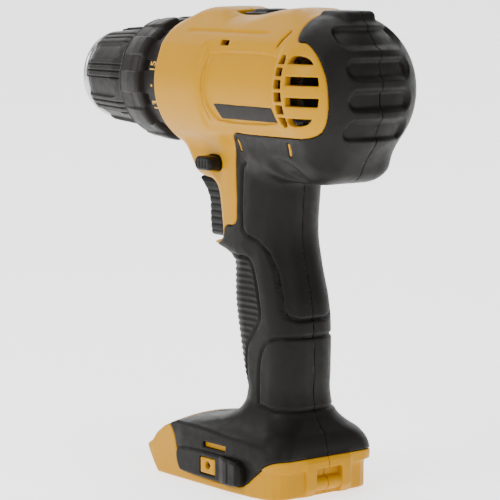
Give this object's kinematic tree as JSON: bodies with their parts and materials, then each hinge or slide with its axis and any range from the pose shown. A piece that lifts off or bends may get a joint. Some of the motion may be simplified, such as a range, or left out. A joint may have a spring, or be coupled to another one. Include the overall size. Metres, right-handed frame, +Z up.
{
  "type": "cordless drill",
  "caption": "Pistol-grip cordless drill driver with keyless chuck, numbered torque collar, two-speed gearbox, variable-speed trigger and a slide-on battery foot.",
  "frame": {"origin": "on the ground under the middle of the tool, centre of the bounding box bottom", "axes": "+X from the dome to the chuck along the spindle, +Y to the tool's left, +Z up from the foot to the barrel"},
  "size_m": [0.1925, 0.068, 0.2128],
  "materials": {
    "yellow_shell": "fine spark-eroded grain, satin",
    "rubber": "matt moulded rubber",
    "label": "printed film, satin",
    "zinc_screw": "zinc plated",
    "black_plastic": "moulded, satin",
    "contact": "tin plated brass",
    "carbon": "carbon brush",
    "lead": "stranded lead in PVC",
    "lens": "clear lens",
    "plated_steel": "plated steel",
    "magnet": "ferrite",
    "core_steel": "stacked laminations",
    "copper": "enamelled copper",
    "gear_case": "glass filled nylon",
    "gear_steel": "sintered steel, oiled",
    "collar_plastic": "moulded, satin",
    "sleeve_plastic": "moulded, satin",
    "chuck_steel": "turned steel"
  },
  "bodies": {
    "housing": {"shell_left": "yellow_shell", "shell_right": "yellow_shell", "overmold_left": "rubber", "overmold_right": "rubber", "label_plates": "label", "foot_pads": "rubber", "hook_inserts": "zinc_screw", "housing_screws": "zinc_screw", "terminal_block": "black_plastic", "terminal_blades": "contact", "battery_leads": "lead", "switch_body": "black_plastic", "work_lamp": "lens", "motor_can": "plated_steel", "motor_magnets": "magnet", "motor_end_cap": "black_plastic", "brushes": "carbon", "motor_front_bearing": "plated_steel", "motor_rear_bearing": "plated_steel", "motor_plate": "plated_steel", "gear_case": "gear_case", "ring_gear_1": "gear_steel", "ring_gear_3": "gear_steel", "spindle_bearings": "plated_steel", "clutch_pins": "plated_steel", "clutch_washer": "plated_steel", "clutch_spring": "plated_steel", "trigger_spring": "plated_steel"},
    "rotor": {"rotor_shaft": "plated_steel", "rotor_core": "core_steel", "rotor_windings": "copper", "commutator": "copper", "cooling_fan": "black_plastic", "motor_pinion": "gear_steel"},
    "carrier_1": {"carrier_1": "gear_steel"},
    "carrier_2": {"carrier_2": "gear_steel"},
    "chuck": {"spindle": "gear_steel", "chuck_body": "chuck_steel", "chuck_screw": "zinc_screw"},
    "sleeve": {"chuck_sleeve": "sleeve_plastic", "chuck_nut": "gear_steel"},
    "collar": {"clutch_collar": "collar_plastic"},
    "nut": {"clutch_nut": "gear_steel"},
    "shift": {"speed_selector": "black_plastic", "shift_fork": "plated_steel", "ring_gear_2": "gear_steel"},
    "trigger": {"trigger": "black_plastic"},
    "reverse": {"reverse_button": "black_plastic"},
    "planet_1_1": {"planet_1_1": "gear_steel"},
    "planet_1_2": {"planet_1_2": "gear_steel"},
    "planet_1_3": {"planet_1_3": "gear_steel"},
    "planet_2_1": {"planet_2_1": "gear_steel"},
    "planet_2_2": {"planet_2_2": "gear_steel"},
    "planet_2_3": {"planet_2_3": "gear_steel"},
    "planet_3_1": {"planet_3_1": "gear_steel"},
    "planet_3_2": {"planet_3_2": "gear_steel"},
    "planet_3_3": {"planet_3_3": "gear_steel"},
    "jaw_1": {"jaw_1": "chuck_steel"},
    "jaw_2": {"jaw_2": "chuck_steel"},
    "jaw_3": {"jaw_3": "chuck_steel"}
  },
  "joints": [
    {"name": "rotor_spin", "type": "hinge", "parent": "housing", "child": "rotor", "pos_m": [0, 0, 0.179], "axis": [1, 0, 0], "continuous": true},
    {"name": "carrier_1_spin", "type": "hinge", "parent": "housing", "child": "carrier_1", "pos_m": [0, 0, 0.179], "axis": [1, 0, 0], "continuous": true},
    {"name": "carrier_2_spin", "type": "hinge", "parent": "housing", "child": "carrier_2", "pos_m": [0, 0, 0.179], "axis": [1, 0, 0], "continuous": true},
    {"name": "spindle_spin", "type": "hinge", "parent": "housing", "child": "chuck", "pos_m": [0, 0, 0.179], "axis": [1, 0, 0], "continuous": true},
    {"name": "planet_1_1_spin", "type": "hinge", "parent": "carrier_1", "child": "planet_1_1", "pos_m": [-0.0117, 0.01282, 0.179], "axis": [1, 0, 0], "continuous": true},
    {"name": "planet_1_2_spin", "type": "hinge", "parent": "carrier_1", "child": "planet_1_2", "pos_m": [-0.0117, -0.00641, 0.19011], "axis": [1, 0, 0], "continuous": true},
    {"name": "planet_1_3_spin", "type": "hinge", "parent": "carrier_1", "child": "planet_1_3", "pos_m": [-0.0117, -0.00641, 0.16789], "axis": [1, 0, 0], "continuous": true},
    {"name": "planet_2_1_spin", "type": "hinge", "parent": "carrier_2", "child": "planet_2_1", "pos_m": [-0.0014, 0.01425, 0.179], "axis": [1, 0, 0], "continuous": true},
    {"name": "planet_2_2_spin", "type": "hinge", "parent": "carrier_2", "child": "planet_2_2", "pos_m": [-0.0014, -0.00712, 0.19134], "axis": [1, 0, 0], "continuous": true},
    {"name": "planet_2_3_spin", "type": "hinge", "parent": "carrier_2", "child": "planet_2_3", "pos_m": [-0.0014, -0.00713, 0.16666], "axis": [1, 0, 0], "continuous": true},
    {"name": "planet_3_1_spin", "type": "hinge", "parent": "chuck", "child": "planet_3_1", "pos_m": [0.0091, 0.01282, 0.179], "axis": [1, 0, 0], "continuous": true},
    {"name": "planet_3_2_spin", "type": "hinge", "parent": "chuck", "child": "planet_3_2", "pos_m": [0.0091, -0.00641, 0.19011], "axis": [1, 0, 0], "continuous": true},
    {"name": "planet_3_3_spin", "type": "hinge", "parent": "chuck", "child": "planet_3_3", "pos_m": [0.0091, -0.00641, 0.16789], "axis": [1, 0, 0], "continuous": true},
    {"name": "sleeve_turn", "type": "hinge", "parent": "chuck", "child": "sleeve", "pos_m": [0.081, 0, 0.179], "axis": [1, 0, 0], "range_deg": [-520, 1880]},
    {"name": "jaw_1_slide", "type": "slide", "parent": "chuck", "child": "jaw_1", "axis": [0.9397, 0, -0.342], "range_m": [-0.0131, 0.00363]},
    {"name": "jaw_2_slide", "type": "slide", "parent": "chuck", "child": "jaw_2", "axis": [0.9397, 0.2962, 0.171], "range_m": [-0.0131, 0.00363]},
    {"name": "jaw_3_slide", "type": "slide", "parent": "chuck", "child": "jaw_3", "axis": [0.9397, -0.2962, 0.171], "range_m": [-0.0131, 0.00363]},
    {"name": "collar_turn", "type": "hinge", "parent": "housing", "child": "collar", "pos_m": [0.045, 0, 0.179], "axis": [1, 0, 0], "range_deg": [0, 300]},
    {"name": "clutch_nut_slide", "type": "slide", "parent": "collar", "child": "nut", "axis": [1, 0, 0], "range_m": [0, 0.007], "deforming": ["clutch_spring"]},
    {"name": "speed_shift", "type": "slide", "parent": "housing", "child": "shift", "axis": [-1, 0, 0], "range_m": [0, 0.004]},
    {"name": "trigger_pull", "type": "slide", "parent": "housing", "child": "trigger", "axis": [-1, 0, 0], "range_m": [0, 0.0065], "stiffness_N_per_m": 400, "springref_m": -0.003, "deforming": ["trigger_spring"]},
    {"name": "reverse_slide", "type": "slide", "parent": "housing", "child": "reverse", "axis": [0, -1, 0], "range_m": [0, 0.007]}
  ],
  "couplings": [
    {"joint": "carrier_1_spin", "follows": "rotor_spin", "ratio": 0.22222},
    {"joint": "carrier_2_spin", "follows": "rotor_spin", "ratio": 0.066667},
    {"joint": "spindle_spin", "follows": "rotor_spin", "ratio": 0.014815},
    {"joint": "planet_1_1_spin", "follows": "rotor_spin", "ratio": -0.62222},
    {"joint": "planet_1_2_spin", "follows": "rotor_spin", "ratio": -0.62222},
    {"joint": "planet_1_3_spin", "follows": "rotor_spin", "ratio": -0.62222},
    {"joint": "planet_2_1_spin", "follows": "rotor_spin", "ratio": -0.23333},
    {"joint": "planet_2_2_spin", "follows": "rotor_spin", "ratio": -0.23333},
    {"joint": "planet_2_3_spin", "follows": "rotor_spin", "ratio": -0.23333},
    {"joint": "planet_3_1_spin", "follows": "rotor_spin", "ratio": -0.041481},
    {"joint": "planet_3_2_spin", "follows": "rotor_spin", "ratio": -0.041481},
    {"joint": "planet_3_3_spin", "follows": "rotor_spin", "ratio": -0.041481},
    {"joint": "jaw_1_slide", "follows": "sleeve_turn", "m_per_rad": -0.00039789},
    {"joint": "jaw_2_slide", "follows": "sleeve_turn", "m_per_rad": -0.00039789},
    {"joint": "jaw_3_slide", "follows": "sleeve_turn", "m_per_rad": -0.00039789},
    {"joint": "clutch_nut_slide", "follows": "collar_turn", "m_per_rad": 0.001335}
  ]
}
